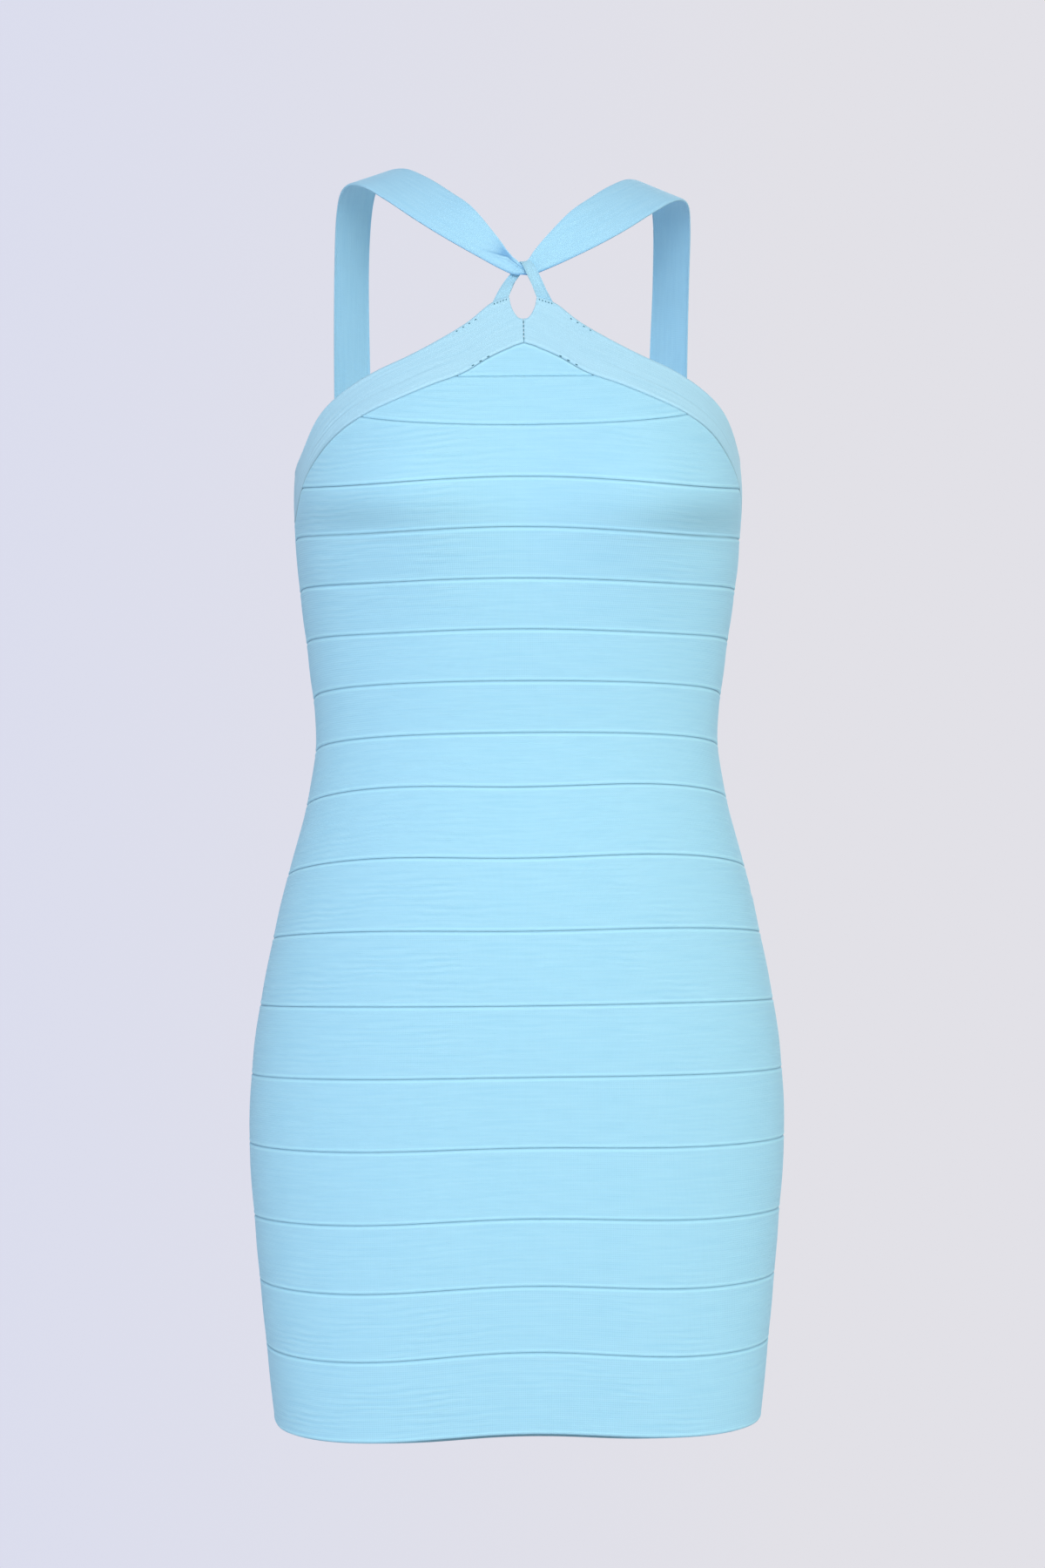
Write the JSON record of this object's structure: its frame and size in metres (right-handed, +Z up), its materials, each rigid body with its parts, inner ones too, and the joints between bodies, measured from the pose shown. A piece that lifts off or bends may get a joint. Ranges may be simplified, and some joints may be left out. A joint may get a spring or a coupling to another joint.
{
  "type": "bodycon dress",
  "caption": "Short close-fitting bandage dress of knitted strips sewn edge to edge, with a keyhole neck where the neck strap runs through a small loop, held in its worn shape.",
  "frame": {"origin": "halfway between the two straps where they cross the tops of the wearer's shoulders, which hold the dress up", "axes": "+Z up, the front faces -Y, +X to the right of someone looking at the front"},
  "size_m": [0.3366, 0.2331, 0.7929],
  "materials": {
    "front_knit": "matte fine rib knit",
    "back_knit": "matte fine rib knit",
    "band_knit": "matte fine rib knit",
    "strap_knit": "matte fine rib knit",
    "loop_knit": "matte fine rib knit"
  },
  "bodies": {
    "root": {"front_strip_01": "front_knit", "front_strip_02": "front_knit", "front_strip_03": "front_knit", "front_strip_04": "front_knit", "front_strip_05": "front_knit", "front_strip_06": "front_knit", "front_strip_07": "front_knit", "front_strip_08": "front_knit", "front_strip_09": "front_knit", "front_strip_10": "front_knit", "front_strip_11": "front_knit", "front_strip_12": "front_knit", "front_strip_13": "front_knit", "front_strip_14": "front_knit", "front_strip_15": "front_knit", "front_strip_16": "front_knit", "front_strip_17": "front_knit", "front_strip_18": "front_knit", "back_strip_01": "back_knit", "back_strip_02": "back_knit", "back_strip_03": "back_knit", "back_strip_04": "back_knit", "back_strip_05": "back_knit", "back_strip_06": "back_knit", "back_strip_07": "back_knit", "back_strip_08": "back_knit", "back_strip_09": "back_knit", "back_strip_10": "back_knit", "back_strip_11": "back_knit", "back_strip_12": "back_knit", "back_strip_13": "back_knit", "back_strip_14": "back_knit", "bust_band_left": "band_knit", "bust_band_right": "band_knit", "back_band": "band_knit", "neck_strap": "strap_knit", "neck_loop": "loop_knit"}
  },
  "joints": []
}
